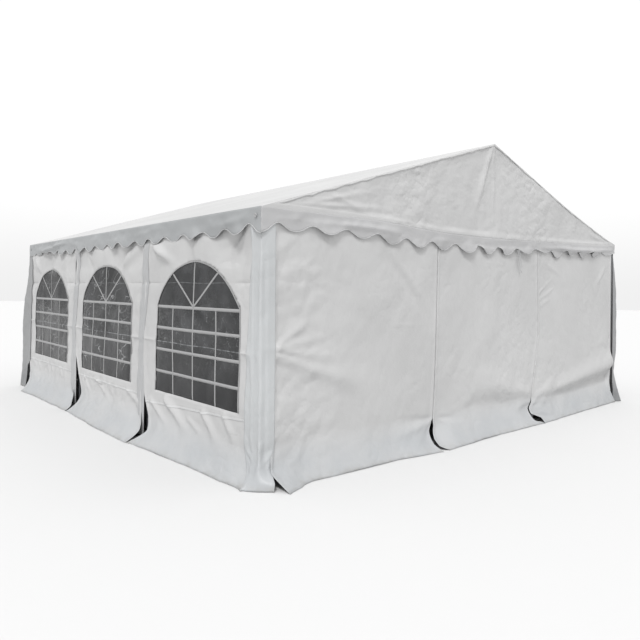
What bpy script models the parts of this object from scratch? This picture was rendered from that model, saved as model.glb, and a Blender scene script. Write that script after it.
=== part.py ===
"""Party marquee, six metres square, on a steel tube frame.

X runs across the gable, Y along the ridge and Z up. The origin is on the ground, in the middle of the tent.
The front gable faces -Y and the left side faces -X. Everything is in metres.
"""
import math

import bmesh
import bpy
from mathutils import Matrix, Vector

# Driving dimensions
HALF_SIDE = 3.0          # middle of the tent to the outer face of each wall
EAVE_Z = 2.13            # top of the roof cover above the outer wall face
RIDGE_Z = 3.09           # top of the roof cover at the ridge
SHEET = 0.005            # every fabric sheet
GAP = 0.0003             # between pieces that touch

# Steel frame
TUBE_R = 0.019
HUB_R = 0.0225           # fittings that sleeve the tubes
HUB_HALF = 0.06
SLEEVE_R = 0.021         # branch of a fitting that takes a post
BRANCH_R = 0.0198        # branch that takes a rafter or a gable rail
BRANCH_LENGTH = 0.1      # fitting centre to the end of a branch
GABLE_RAIL_DROP = 0.06   # gable rails below the eave rails
POST_AT = 1.0            # posts between the corners, from the middle of a side
FOOT_SIZE = 0.1
FOOT_THICK = 0.006
TUBE_SIDES = 12
HUB_SIDES = 16

# Walls
WALL_TOP = 2.115
SKIRT_Z = 0.32           # height at which a wall leaves the vertical
SKIRT_OUT = 0.22         # how far its foot lies outside
SKIRT_POWER = 1.7
SKIRT_STEPS = 6
CORNER_LEG = 0.12        # width of a corner cover on each side of its corner
FRONT_SEAM = 0.95        # seams of the gable walls, from the middle
POST_SLIT = 0.12         # between two panels of a long side, over a post
STRIP_TOP = 2.1          # strips over the posts of the long sides
STRIP_FOOT = 0.42
STRIP_TOP_HALF = 0.105
STRIP_FOOT_HALF = 0.065

# Arched windows
WINDOW_AT = 2.0          # distance between the middles of two windows
WINDOW_WIDTH = 1.42
WINDOW_SILL = 0.52
WINDOW_SPRING = 1.34
WINDOW_TOP = 1.74
ARCH_STEPS = 16
FILM = 0.003

# Scalloped valance
VALANCE_LOW = 1.92
VALANCE_HIGH = 1.99
SCALLOPS = 16
SCALLOP_STEPS = 8

# Worked out from the driving dimensions
SLOPE = math.atan2(RIDGE_Z - EAVE_Z, HALF_SIDE)
SHEET_DROP = SHEET / math.cos(SLOPE)
FRAME_HALF = HALF_SIDE - SHEET - GAP - HUB_R
AXIS_DROP = (SHEET + GAP + HUB_R) / math.cos(SLOPE)
RIDGE_AXIS = RIDGE_Z - AXIS_DROP
EAVE_AXIS = RIDGE_AXIS - FRAME_HALF * math.tan(SLOPE)
GABLE_RAIL_AXIS = EAVE_AXIS - GABLE_RAIL_DROP
FRAME_END = FRAME_HALF + HUB_R
VALANCE_INNER = HALF_SIDE + GAP + SHEET + GAP
COVER_HALF = VALANCE_INNER + SHEET + 2 * GAP
STATIONS = (-FRAME_HALF, -POST_AT, POST_AT, FRAME_HALF)
CORNER_EDGE = HALF_SIDE - CORNER_LEG

UP = Vector((0, 0, 1))
SIDES = {
    "left": (Vector((-1, 0, 0)), Vector((0, 1, 0))),
    "right": (Vector((1, 0, 0)), Vector((0, 1, 0))),
    "front": (Vector((0, -1, 0)), Vector((1, 0, 0))),
    "back": (Vector((0, 1, 0)), Vector((1, 0, 0))),
}

for old in list(bpy.data.objects):
    bpy.data.objects.remove(old, do_unlink=True)

parts = bpy.data.collections.new("marquee_tent")
cutters = bpy.data.collections.new("marquee_cutters")
bpy.context.scene.collection.children.link(parts)
bpy.context.scene.collection.children.link(cutters)


def material(name, colour, roughness, metallic=0.0, alpha=1.0):
    """A plain Principled material."""
    mat = bpy.data.materials.new(name)
    mat.use_nodes = True
    shader = mat.node_tree.nodes["Principled BSDF"]
    shader.inputs["Base Color"].default_value = (*colour, 1.0)
    shader.inputs["Roughness"].default_value = roughness
    shader.inputs["Metallic"].default_value = metallic
    shader.inputs["Alpha"].default_value = alpha
    return mat


ROOF_FABRIC = material("roof_fabric", (0.86, 0.87, 0.88), 0.45)
WALL_FABRIC = material("wall_fabric", (0.62, 0.64, 0.66), 0.5)
WINDOW_FILM = material("window_film", (0.16, 0.17, 0.18), 0.12, alpha=0.6)
STEEL = material("galvanised_steel", (0.5, 0.52, 0.54), 0.4, metallic=0.9)


def place(name, data, mat, matrix=Matrix.Identity(4)):
    """A named piece of the tent."""
    if not data.materials:
        data.materials.append(mat)
    obj = bpy.data.objects.new(name, data)
    obj.matrix_world = matrix
    parts.objects.link(obj)
    return obj


def hide_as_cutter(obj):
    """Keep an operand out of the render."""
    for owner in list(obj.users_collection):
        owner.objects.unlink(obj)
    cutters.objects.link(obj)
    obj.hide_render = True
    obj.display_type = "WIRE"


def boolean(obj, operand, operation):
    """Cut or join with the exact solver."""
    modifier = obj.modifiers.new(operation.lower(), "BOOLEAN")
    modifier.operation = operation
    modifier.solver = "EXACT"
    modifier.object = operand


def baked(obj):
    """The evaluated mesh of an object, with its caps welded; the object is removed."""
    bpy.context.view_layer.update()
    graph = bpy.context.evaluated_depsgraph_get()
    mesh = bpy.data.meshes.new_from_object(obj.evaluated_get(graph))
    mesh.name = obj.name
    work = bmesh.new()
    work.from_mesh(mesh)
    bmesh.ops.remove_doubles(work, verts=work.verts, dist=0.00001)
    bmesh.ops.recalc_face_normals(work, faces=work.faces)
    work.to_mesh(mesh)
    work.free()
    bpy.data.objects.remove(obj, do_unlink=True)
    return mesh


def plate_mesh(name, outline, thickness):
    """A flat closed outline in local XY, as thick as given, centred on Z = 0."""
    curve = bpy.data.curves.new(name, "CURVE")
    curve.dimensions = "2D"
    curve.fill_mode = "BOTH"
    curve.extrude = thickness / 2
    spline = curve.splines.new("POLY")
    spline.points.add(len(outline) - 1)
    for point, (x, y) in zip(spline.points, outline):
        point.co = (x, y, 0, 1)
    spline.use_cyclic_u = True
    obj = bpy.data.objects.new(name, curve)
    parts.objects.link(obj)
    return baked(obj)


def across_matrix(side, along):
    """Local X points outward from a wall, local Y up, and the origin is on its outer face."""
    outward, tangent = SIDES[side]
    origin = outward * HALF_SIDE + tangent * along
    return basis(outward, UP, origin)


def facing_matrix(side, along, depth):
    """Local X runs along a wall, local Y up, and the origin is the given depth from the middle."""
    outward, tangent = SIDES[side]
    return basis(tangent, UP, outward * depth + tangent * along)


def basis(first, second, origin):
    """A right-handed frame from its first two axes."""
    third = first.cross(second)
    rotation = Matrix((first, second, third)).transposed()
    return Matrix.Translation(origin) @ rotation.to_4x4()


def skirt_share(z):
    """How far along its flare a wall is at a height: 0 on the vertical part, 1 on the ground."""
    return max(0.0, 1 - z / SKIRT_Z) ** SKIRT_POWER


def skirt_levels():
    """Heights of the flared foot, from its top to the ground."""
    return [SKIRT_Z * (1 - step / SKIRT_STEPS) for step in range(SKIRT_STEPS + 1)]


def wall_profile():
    """Section of a wall, upright with a flared foot: outward distance and height."""
    outer = [(0.0, WALL_TOP)] + [(SKIRT_OUT * skirt_share(z), z) for z in skirt_levels()]
    inner = [(out - SHEET, z) for out, z in reversed(outer)]
    return outer + inner


def window_outline(margin):
    """Arched outline about the window's middle, drawn in by a margin."""
    half = WINDOW_WIDTH / 2
    rise = WINDOW_TOP - WINDOW_SPRING
    radius = (half * half + rise * rise) / (2 * rise)
    centre_z = WINDOW_TOP - radius
    radius -= margin
    half -= margin
    reach = math.asin(half / radius)
    points = [(-half, WINDOW_SILL + margin), (half, WINDOW_SILL + margin)]
    for step in range(ARCH_STEPS + 1):
        angle = reach * (1 - 2 * step / ARCH_STEPS)
        points.append((radius * math.sin(angle), centre_z + radius * math.cos(angle)))
    return points


def wall(side, number, start, end):
    """One wall panel between two places along its side."""
    name = f"wall_{side}_{number}"
    mesh = plate_mesh(name, wall_profile(), end - start)
    return place(name, mesh, WALL_FABRIC, across_matrix(side, (start + end) / 2))


def window(side, number, along, panel):
    """Cut an arched window through a panel and close it with clear film."""
    middle = HALF_SIDE - SHEET / 2
    cutter_mesh = plate_mesh("window_cutter", window_outline(0.0), 10 * SHEET)
    cutter = bpy.data.objects.new(f"cutter_{side}_{number}", cutter_mesh)
    cutter.matrix_world = facing_matrix(side, along, middle)
    hide_as_cutter(cutter)
    boolean(panel, cutter, "DIFFERENCE")
    name = f"window_{side}_{number}"
    film = plate_mesh(name, window_outline(GAP), FILM)
    place(name, film, WINDOW_FILM, facing_matrix(side, along, middle))


def windowed_side(side):
    """Three panels with arched windows, and the strips over the two posts between them."""
    near = POST_AT - POST_SLIT / 2
    far = POST_AT + POST_SLIT / 2
    spans = ((-CORNER_EDGE, -far), (-near, near), (far, CORNER_EDGE))
    for number, (start, end) in enumerate(spans, start=1):
        panel = wall(side, number, start, end)
        window(side, number, (number - 2) * WINDOW_AT, panel)
    outline = [(-STRIP_FOOT_HALF, STRIP_FOOT), (STRIP_FOOT_HALF, STRIP_FOOT),
               (STRIP_TOP_HALF, STRIP_TOP), (-STRIP_TOP_HALF, STRIP_TOP)]
    for number, along in ((1, -POST_AT), (2, POST_AT)):
        name = f"post_strip_{side}_{number}"
        mesh = plate_mesh(name, outline, SHEET)
        place(name, mesh, WALL_FABRIC, facing_matrix(side, along, HALF_SIDE + GAP + SHEET / 2))


def plain_side(side):
    """Three plain panels of a gable wall."""
    seam = FRONT_SEAM + GAP / 2
    spans = ((-CORNER_EDGE, -seam), (-seam + GAP, seam - GAP), (seam, CORNER_EDGE))
    for number, (start, end) in enumerate(spans, start=1):
        wall(side, number, start, end)


def corner_section(z, inset):
    """One face of a corner cover, from the panel of the long side round to its edge on the gable."""
    share = skirt_share(z)
    return [
        (HALF_SIDE + SKIRT_OUT * share - inset, CORNER_EDGE + GAP),
        (HALF_SIDE + 0.16 * share - inset, HALF_SIDE - 0.04 + 0.02 * share),
        (HALF_SIDE + 0.08 * share - inset, HALF_SIDE + 0.07 * share - inset),
        (HALF_SIDE - 0.04 + 0.02 * share, HALF_SIDE + 0.15 * share - inset),
        (CORNER_EDGE + GAP + 0.09 * share, HALF_SIDE + 0.16 * share - inset),
    ]


def corner_cover(name, sign_x, sign_y):
    """Loft a corner cover, which bends round the corner post and flares at its foot."""
    work = bmesh.new()
    rings = []
    for z in [WALL_TOP] + skirt_levels():
        loop = corner_section(z, 0.0) + corner_section(z, SHEET)[::-1]
        rings.append([work.verts.new((sign_x * x, sign_y * y, z)) for x, y in loop])
    for upper, lower in zip(rings, rings[1:]):
        for index in range(len(upper)):
            after = (index + 1) % len(upper)
            work.faces.new((upper[index], upper[after], lower[after], lower[index]))
    work.faces.new(rings[0])
    work.faces.new(rings[-1])
    bmesh.ops.recalc_face_normals(work, faces=work.faces)
    mesh = bpy.data.meshes.new(name)
    work.to_mesh(mesh)
    work.free()
    place(name, mesh, WALL_FABRIC)


def roof_cover():
    """Sheet over both slopes, reaching past the valance all round."""
    eave = EAVE_Z - (COVER_HALF - HALF_SIDE) * math.tan(SLOPE)
    top = [(-COVER_HALF, eave), (0.0, RIDGE_Z), (COVER_HALF, eave)]
    under = [(x, z - SHEET_DROP) for x, z in reversed(top)]
    mesh = plate_mesh("roof_cover", top + under, 2 * COVER_HALF)
    place("roof_cover", mesh, ROOF_FABRIC, facing_matrix("front", 0.0, 0.0))


def under_roof(distance):
    """Height of the roof cover's underside, less the gap, at a distance from the ridge."""
    return RIDGE_Z - distance * math.tan(SLOPE) - SHEET_DROP - GAP / math.cos(SLOPE)


def gable(side):
    """Triangular sheet that closes the roof space."""
    low = WALL_TOP + GAP
    outline = [(-HALF_SIDE, low), (HALF_SIDE, low), (HALF_SIDE, under_roof(HALF_SIDE)),
               (0.0, under_roof(0.0)), (-HALF_SIDE, under_roof(HALF_SIDE))]
    mesh = plate_mesh(f"gable_{side}", outline, SHEET)
    place(f"gable_{side}", mesh, WALL_FABRIC, facing_matrix(side, 0.0, HALF_SIDE - SHEET / 2))


def valance(side, half):
    """Strip with a scalloped lower edge, hung from the edge of the roof cover."""
    top = under_roof(COVER_HALF)
    middle = (VALANCE_LOW + VALANCE_HIGH) / 2
    swing = (VALANCE_HIGH - VALANCE_LOW) / 2
    steps = SCALLOPS * SCALLOP_STEPS
    outline = [(half, top), (-half, top)]
    for step in range(steps + 1):
        turn = 2 * math.pi * step / SCALLOP_STEPS
        outline.append((half * (2 * step / steps - 1), middle - swing * math.cos(turn)))
    mesh = plate_mesh(f"valance_{side}", outline, SHEET)
    place(f"valance_{side}", mesh, ROOF_FABRIC, facing_matrix(side, 0.0, VALANCE_INNER + SHEET / 2))


def hubbed_tube(name, half, hubs):
    """Tube along local Z, with a wider sleeve at each hub; no hub reaches past the tube's end."""
    line = [(0.0, half)]
    for centre in sorted(hubs, reverse=True):
        high = centre + HUB_HALF
        low = centre - HUB_HALF
        if high < half:
            line += [(TUBE_R, high), (HUB_R, high)]
            if line[1] == (TUBE_R, high):
                line.insert(1, (TUBE_R, half))
        else:
            line.append((HUB_R, half))
        if low > -half:
            line += [(HUB_R, low), (TUBE_R, low)]
        else:
            line.append((HUB_R, -half))
    if line[-1][1] > -half:
        line.append((TUBE_R, -half))
    line.append((0.0, -half))
    mesh = bpy.data.meshes.new(name)
    mesh.from_pydata([(r, 0, z) for r, z in line], [(i, i + 1) for i in range(len(line) - 1)], [])
    obj = bpy.data.objects.new(name, mesh)
    parts.objects.link(obj)
    screw = obj.modifiers.new("turn", "SCREW")
    screw.axis = "Z"
    screw.steps = HUB_SIDES
    screw.render_steps = HUB_SIDES
    screw.use_merge_vertices = True
    screw.merge_threshold = 0.0001
    return obj


def rods(name, starts, direction, length, radius):
    """Like round rods from several starting points, all in one direction."""
    turn = direction.to_track_quat("Z", "Y").to_matrix().to_4x4()
    work = bmesh.new()
    for start in starts:
        matrix = Matrix.Translation(start + direction * (length / 2)) @ turn
        bmesh.ops.create_cone(work, cap_ends=True, segments=TUBE_SIDES, radius1=radius,
                              radius2=radius, depth=length, matrix=matrix)
    mesh = bpy.data.meshes.new(name)
    work.to_mesh(mesh)
    work.free()
    return mesh


def join_branches(obj, branches):
    """Union sets of rods with a tube, and return the joined mesh."""
    operands = []
    for number, mesh in enumerate(branches):
        operand = bpy.data.objects.new(f"{obj.name}_branch_{number}", mesh)
        hide_as_cutter(operand)
        boolean(obj, operand, "UNION")
        operands.append(operand)
    mesh = baked(obj)
    for operand in operands:
        bpy.data.objects.remove(operand, do_unlink=True)
    mesh.shade_smooth()
    mesh.set_sharp_from_angle(angle=math.radians(40))
    return mesh


def eave_rails():
    """Rails along the long sides, with the fittings that take posts, rafters and gable rails."""
    starts = [Vector((0, 0, y)) for y in STATIONS]
    ends = [Vector((0, GABLE_RAIL_DROP, y)) for y in (-FRAME_HALF, FRAME_HALF)]
    inward = Vector((1, 0, 0))
    down = Vector((0, 1, 0))
    up_slope = Vector((math.cos(SLOPE), -math.sin(SLOPE), 0))
    tube = hubbed_tube("eave_rail", FRAME_END, STATIONS)
    mesh = join_branches(tube, (
        rods("posts", starts, down, GABLE_RAIL_DROP + BRANCH_LENGTH, SLEEVE_R),
        rods("rafters", starts, up_slope, BRANCH_LENGTH, BRANCH_R),
        rods("gable_rails", ends, inward, BRANCH_LENGTH, BRANCH_R)))
    matrix = basis(Vector((1, 0, 0)), Vector((0, 0, -1)), Vector((-FRAME_HALF, 0, EAVE_AXIS)))
    place("eave_rail_left", mesh, STEEL, matrix)
    place("eave_rail_right", mesh, STEEL, Matrix.Rotation(math.pi, 4, "Z") @ matrix)


def gable_rails():
    """Rails across both ends, with a fitting for each post between the corners."""
    starts = [Vector((0, 0, -POST_AT)), Vector((0, 0, POST_AT))]
    half = FRAME_HALF - BRANCH_LENGTH - GAP
    tube = hubbed_tube("gable_rail", half, (-POST_AT, POST_AT))
    mesh = join_branches(tube, (rods("posts", starts, Vector((0, -1, 0)), BRANCH_LENGTH, SLEEVE_R),))
    matrix = basis(Vector((0, -1, 0)), UP, Vector((0, -FRAME_HALF, GABLE_RAIL_AXIS)))
    place("gable_rail_front", mesh, STEEL, matrix)
    place("gable_rail_back", mesh, STEEL, Matrix.Rotation(math.pi, 4, "Z") @ matrix)


def ridge_beam():
    """Tube under the ridge, with the fittings that take the rafters."""
    starts = [Vector((0, 0, y)) for y in STATIONS]
    tube = hubbed_tube("ridge_beam", FRAME_END, STATIONS)
    branches = []
    for sign in (-1, 1):
        direction = Vector((sign * math.cos(SLOPE), math.sin(SLOPE), 0))
        branches.append(rods("rafters", starts, direction, BRANCH_LENGTH, BRANCH_R))
    mesh = join_branches(tube, branches)
    place("ridge_beam", mesh, STEEL, basis(Vector((1, 0, 0)), Vector((0, 0, -1)), Vector((0, 0, RIDGE_AXIS))))


def rafters():
    """Sloping tubes between the eave fittings and the ridge fittings."""
    span = FRAME_HALF / math.cos(SLOPE)
    length = span - 2 * (BRANCH_LENGTH + GAP)
    mesh = rods("rafter", [Vector((0, 0, -length / 2))], UP, length, TUBE_R)
    middle_z = (EAVE_AXIS + RIDGE_AXIS) / 2
    for side, sign in (("left", -1), ("right", 1)):
        direction = Vector((sign * math.cos(SLOPE), 0, -math.sin(SLOPE)))
        turn = direction.to_track_quat("Z", "Y").to_matrix().to_4x4()
        for number, y in enumerate(STATIONS, start=1):
            middle = Vector((sign * FRAME_HALF / 2, y, middle_z))
            place(f"rafter_{side}_{number}", mesh, STEEL, Matrix.Translation(middle) @ turn)


def posts():
    """Upright tubes on square foot plates, up to the fittings of the rails."""
    work = bmesh.new()
    size = Matrix.Diagonal((FOOT_SIZE, FOOT_SIZE, FOOT_THICK, 1))
    bmesh.ops.create_cube(work, size=1, matrix=Matrix.Translation((0, 0, FOOT_THICK / 2)) @ size)
    foot = bpy.data.meshes.new("post")
    work.to_mesh(foot)
    work.free()
    foot_object = bpy.data.objects.new("post", foot)
    parts.objects.link(foot_object)
    inside = FOOT_THICK / 2
    top = GABLE_RAIL_AXIS - BRANCH_LENGTH - GAP
    tube = rods("post_tube", [Vector((0, 0, inside))], UP, top - inside, TUBE_R)
    mesh = join_branches(foot_object, (tube,))
    spots = {}
    for number, y in enumerate(STATIONS, start=1):
        spots[f"post_left_{number}"] = (-FRAME_HALF, y)
        spots[f"post_right_{number}"] = (FRAME_HALF, y)
    for side, y in (("front", -FRAME_HALF), ("back", FRAME_HALF)):
        spots[f"post_{side}_1"] = (-POST_AT, y)
        spots[f"post_{side}_2"] = (POST_AT, y)
    for name, (x, y) in spots.items():
        place(name, mesh, STEEL, Matrix.Translation((x, y, 0)))


roof_cover()
for gable_side in ("front", "back"):
    gable(gable_side)
    plain_side(gable_side)
    valance(gable_side, VALANCE_INNER - GAP)
for long_side in ("left", "right"):
    windowed_side(long_side)
    valance(long_side, VALANCE_INNER + SHEET)
for across, sign_across in (("left", -1), ("right", 1)):
    for along_name, sign_along in (("front", -1), ("back", 1)):
        corner_cover(f"corner_cover_{along_name}_{across}", sign_across, sign_along)
posts()
eave_rails()
gable_rails()
ridge_beam()
rafters()
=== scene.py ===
"""Looks of the party marquee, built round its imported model.

X runs across the gable, Y along the ridge and Z up, in metres, as in the model. The front gable faces -Y and
the left side faces -X. Every sheet is worked out on the left or the front side, as a distance along the side,
a height and a distance out of the wall. The right and back sides are the same sheets turned half round, with
creases of their own.
"""

import math

import bpy
import numpy as np
from mathutils import Euler, Matrix, Vector


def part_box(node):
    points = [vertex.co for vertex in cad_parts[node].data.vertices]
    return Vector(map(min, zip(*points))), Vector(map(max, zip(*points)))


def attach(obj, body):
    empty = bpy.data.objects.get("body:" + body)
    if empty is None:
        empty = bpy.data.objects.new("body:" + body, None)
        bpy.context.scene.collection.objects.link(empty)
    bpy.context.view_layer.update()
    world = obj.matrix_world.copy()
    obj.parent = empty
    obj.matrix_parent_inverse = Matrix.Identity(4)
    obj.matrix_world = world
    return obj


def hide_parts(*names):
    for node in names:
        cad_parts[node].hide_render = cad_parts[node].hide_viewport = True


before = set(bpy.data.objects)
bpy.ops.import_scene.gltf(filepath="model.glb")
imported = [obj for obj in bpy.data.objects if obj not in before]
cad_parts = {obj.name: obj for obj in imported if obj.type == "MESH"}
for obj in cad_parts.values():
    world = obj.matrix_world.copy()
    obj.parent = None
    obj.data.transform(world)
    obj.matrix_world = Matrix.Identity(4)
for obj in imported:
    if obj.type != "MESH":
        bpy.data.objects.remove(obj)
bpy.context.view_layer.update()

# Sizes read from the model
HALF = -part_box("gable_front")[0].y
RIDGE_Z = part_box("roof_cover")[1].z
COVER_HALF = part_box("roof_cover")[1].x
WALL_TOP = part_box("wall_front_1")[1].z
VALANCE_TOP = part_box("valance_front")[1].z
VALANCE_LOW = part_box("valance_front")[0].z
WINDOW_LOW, WINDOW_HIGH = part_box("window_left_1")
WINDOW_AT = -(WINDOW_LOW.y + WINDOW_HIGH.y) / 2
WINDOW_HALF = (WINDOW_HIGH.y - WINDOW_LOW.y) / 2
SILL = WINDOW_LOW.z
ARCH_TOP = WINDOW_HIGH.z
RAKE = math.atan2(RIDGE_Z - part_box("roof_cover")[0].z, COVER_HALF)

# Sizes that only the looks need
SKIRT_Z = 0.32            # the foot flares out below this
SKIRT_POWER = 1.7
LEAN_TOP = 1.9            # the walls lean out below this
SPRING = 1.34             # height at which a window's arch starts
CLOTH = 0.0012            # thickness of the walls' sheet
ROOF_THICK = 0.0015
PIPING_R = 0.0035
FOLD_HIGH = 1.55          # the two creases that run round the windowed sides
FOLD_LOW = 1.0
BAR = 0.024               # width of a window bar
NOISE_GRID = 64
BACKDROP_R = 60.0
RIM_POINTS = 96
NEAR_SIDES = ("left", "front")   # the other two repeat them
CELL = {"left": 0.02, "front": 0.02, "right": 0.032, "back": 0.032}   # grid on each side


# Numbers that vary smoothly over a sheet
def noise(x, y, seed):
    """Smooth gradient noise, from about -0.7 to 0.7, with one bump to a unit."""
    angle = np.random.default_rng(seed).uniform(0, 2 * np.pi, (NOISE_GRID, NOISE_GRID))
    x, y = np.broadcast_arrays(x, y)
    column = np.floor(x).astype(int)
    row = np.floor(y).astype(int)
    fx = x - column
    fy = y - row

    def from_corner(right, up):
        turn = angle[(column + right) % NOISE_GRID, (row + up) % NOISE_GRID]
        return np.cos(turn) * (fx - right) + np.sin(turn) * (fy - up)

    wx, wy = (part ** 3 * (part * (part * 6 - 15) + 10) for part in (fx, fy))
    low = from_corner(0, 0) * (1 - wx) + from_corner(1, 0) * wx
    high = from_corner(0, 1) * (1 - wx) + from_corner(1, 1) * wx
    return low * (1 - wy) + high * wy


def smooth(low, high, value):
    """0 below low, 1 above high and a smooth step between them."""
    t = np.clip((value - low) / (high - low), 0, 1)
    return t * t * (3 - 2 * t)


def through(knots, at):
    """Value at a place on the broken line through knots of (place, value)."""
    return np.interp(at, *zip(*sorted(knots)))


def crumple(x, y, seed, size):
    """Flat facets between sharp crossing creases, as in a sheet that was packed small; 0 to about 1."""
    turns = np.random.default_rng(seed + 500).uniform(0, np.pi, 4)
    total = np.zeros(np.broadcast(x, y).shape)
    for number, (turn, weight) in enumerate(zip(turns, (0.6, 0.5, 0.4, 0.3))):
        across = (x * math.cos(turn) + y * math.sin(turn)) / size
        along = (y * math.cos(turn) - x * math.sin(turn)) / size
        own = seed + 10 * number
        bend = 0.5 * noise(along * 0.4, across * 0.4, own)
        total += weight * np.abs(noise(across + bend, along * 0.45, own + 1))
    return total


def facets(x, y, seed, size, height, middle=0.5):
    """Crumpled facets of a height, above and below a sheet's middle."""
    return height * (crumple(x, y, seed, size) - middle)


def crease(s, z, start, end, width, height, spread=0.0, both=True):
    """A fold along a line on a wall. It widens by spread on its way and fades at its end, or at both ends."""
    run_s = end[0] - start[0]
    run_z = end[1] - start[1]
    length = math.hypot(run_s, run_z)
    along = ((s - start[0]) * run_s + (z - start[1]) * run_z) / length ** 2
    across = ((z - start[1]) * run_s - (s - start[0]) * run_z) / length
    fade = smooth(1.05, 0.45, along)
    fade *= smooth(-0.05, 0.3, along) if both else smooth(-0.12, 0.02, along)
    wide = width * (1 + spread * np.clip(along, 0, 1))
    return height * fade * np.exp(-(across / wide) ** 2)


def creases(s, z, rows, *shape, both=True):
    """Several folds. A row is a start and an end, with what follows them in crease unless all share that."""
    return sum(crease(s, z, *row, *shape, both=both) for row in rows)


def fan(s, z, start, rays, spread):
    """Folds that run out of one point, each an end, a width and a height."""
    return creases(s, z, [(start, *ray) for ray in rays], spread, both=False)


def level_fold(z, height, depth, reach):
    """A sharp crease at one height across a whole panel."""
    return depth * np.exp(-np.abs(z - height) / reach)


def lean(s, z, side):
    """How far a wall leans out, more towards its far corner."""
    rate = 0.034 * smooth(-3.2, -0.8, s) if is_long(side) else 0.006 + 0.004 * (s + HALF)
    return rate * (LEAN_TOP - np.minimum(z, LEAN_TOP))


def skirt(z):
    """Share of its flare that a wall has at a height: 0 on the upright part, 1 on the ground."""
    return np.clip(1 - z / SKIRT_Z, 0, 1) ** SKIRT_POWER


def under_valance(out, z):
    """The same distance, kept behind the valance where that hangs in front."""
    most = 0.004 + 0.5 * np.clip((1.95 - z) / 0.15, 0, None) ** 2
    return most - np.logaddexp(0, (most - out) / 0.003) * 0.003


# Meshes
def on_side(side, along, height, out):
    """Points on a side of the tent, from places along it, heights and distances out of its wall."""
    along, height, out = np.broadcast_arrays(along, height, out)
    depth = -(HALF + out)
    x, y = (depth, along) if is_long(side) else (along, depth)
    if side not in NEAR_SIDES:
        x, y = -x, -y
    return np.stack([x, y, height], axis=-1)


def is_long(side):
    """True for the two long sides, where a grid that runs along the side and up faces into the tent."""
    return side in ("left", "right")


def levels(low, high, cell, *fine):
    """Values from low to high, about a cell apart, and closer round each (centre, reach, cell) of fine."""
    values = [low]
    while values[-1] < high - 1e-6:
        here = values[-1]
        step = cell
        for centre, reach, small in fine:
            if abs(here - centre) < reach:
                step = min(step, small)
        values.append(min(high, here + step))
    return np.array(values)


def with_stops(values, *stops):
    """The same values with the nearest ones moved onto the stops."""
    values = values.copy()
    for stop in stops:
        values[np.argmin(np.abs(values - stop))] = stop
    return values


def grid_object(name, grids, flip, mat, nodes=(), keep=None, thickness=CLOTH):
    """A smooth sheet over a grid of points, or over several, with a real thickness."""
    grids = grids if isinstance(grids, list) else [grids]
    faces = []
    first = 0
    for grid in grids:
        rows, columns = grid.shape[:2]
        index = first + np.arange(rows * columns).reshape(rows, columns)
        quads = np.stack([index[:-1, :-1], index[:-1, 1:], index[1:, 1:], index[1:, :-1]], axis=-1)
        faces.append(quads[keep] if keep is not None else quads.reshape(-1, 4))
        first += rows * columns
    faces = np.concatenate(faces)[:, ::-1 if flip else 1]
    points = np.concatenate([grid.reshape(-1, 3) for grid in grids])
    used, where = np.unique(faces, return_inverse=True)
    obj = face_object(name, points[used], where.reshape(-1, 4).tolist(), mat)
    solid = obj.modifiers.new("thickness", "SOLIDIFY")
    solid.thickness = thickness
    solid.offset = -1.0
    return dress(obj, nodes)


def new_object(name, data):
    obj = bpy.data.objects.new(name, data)
    bpy.context.scene.collection.objects.link(obj)
    return obj


def face_object(name, points, faces, mat):
    mesh = bpy.data.meshes.new(name)
    mesh.from_pydata(points.tolist(), [], faces)
    mesh.shade_smooth()
    mesh.materials.append(mat)
    return new_object(name, mesh)


def rings_object(name, rings, mat, closed=False):
    """A tube through rings of points, either closed on itself or capped at both ends."""
    count, sides = rings.shape[:2]
    index = np.arange(count * sides).reshape(count, sides)
    here, ahead = (index, np.roll(index, -1, axis=0)) if closed else (index[:-1], index[1:])
    faces = np.stack([here, np.roll(here, -1, axis=1), np.roll(ahead, -1, axis=1), ahead], axis=-1)
    faces = faces.reshape(-1, 4).tolist()
    if not closed:
        faces += [index[0, ::-1].tolist(), index[-1].tolist()]
    return face_object(name, rings.reshape(-1, 3), faces, mat)


def full_turn(steps):
    return np.linspace(0, 2 * np.pi, steps, endpoint=False)


def tube_object(name, points, radius, mat, sides):
    """A closed tube along a line of points that nowhere runs straight up."""
    forward = np.gradient(points, axis=0)
    forward /= np.linalg.norm(forward, axis=1)[:, None]
    first = np.cross(forward, (0.0, 0.0, 1.0))
    first /= np.linalg.norm(first, axis=1)[:, None]
    second = np.cross(forward, first)
    turn = full_turn(sides)[:, None]
    rings = np.cos(turn) * first[:, None] + np.sin(turn) * second[:, None]
    return rings_object(name, points[:, None] + radius * rings, mat)


def dress(obj, nodes=()):
    """Everything rides on the one body and may stand for model nodes, which are hidden."""
    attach(obj, "root")
    if nodes:
        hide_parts(*nodes)
    return obj


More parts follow.
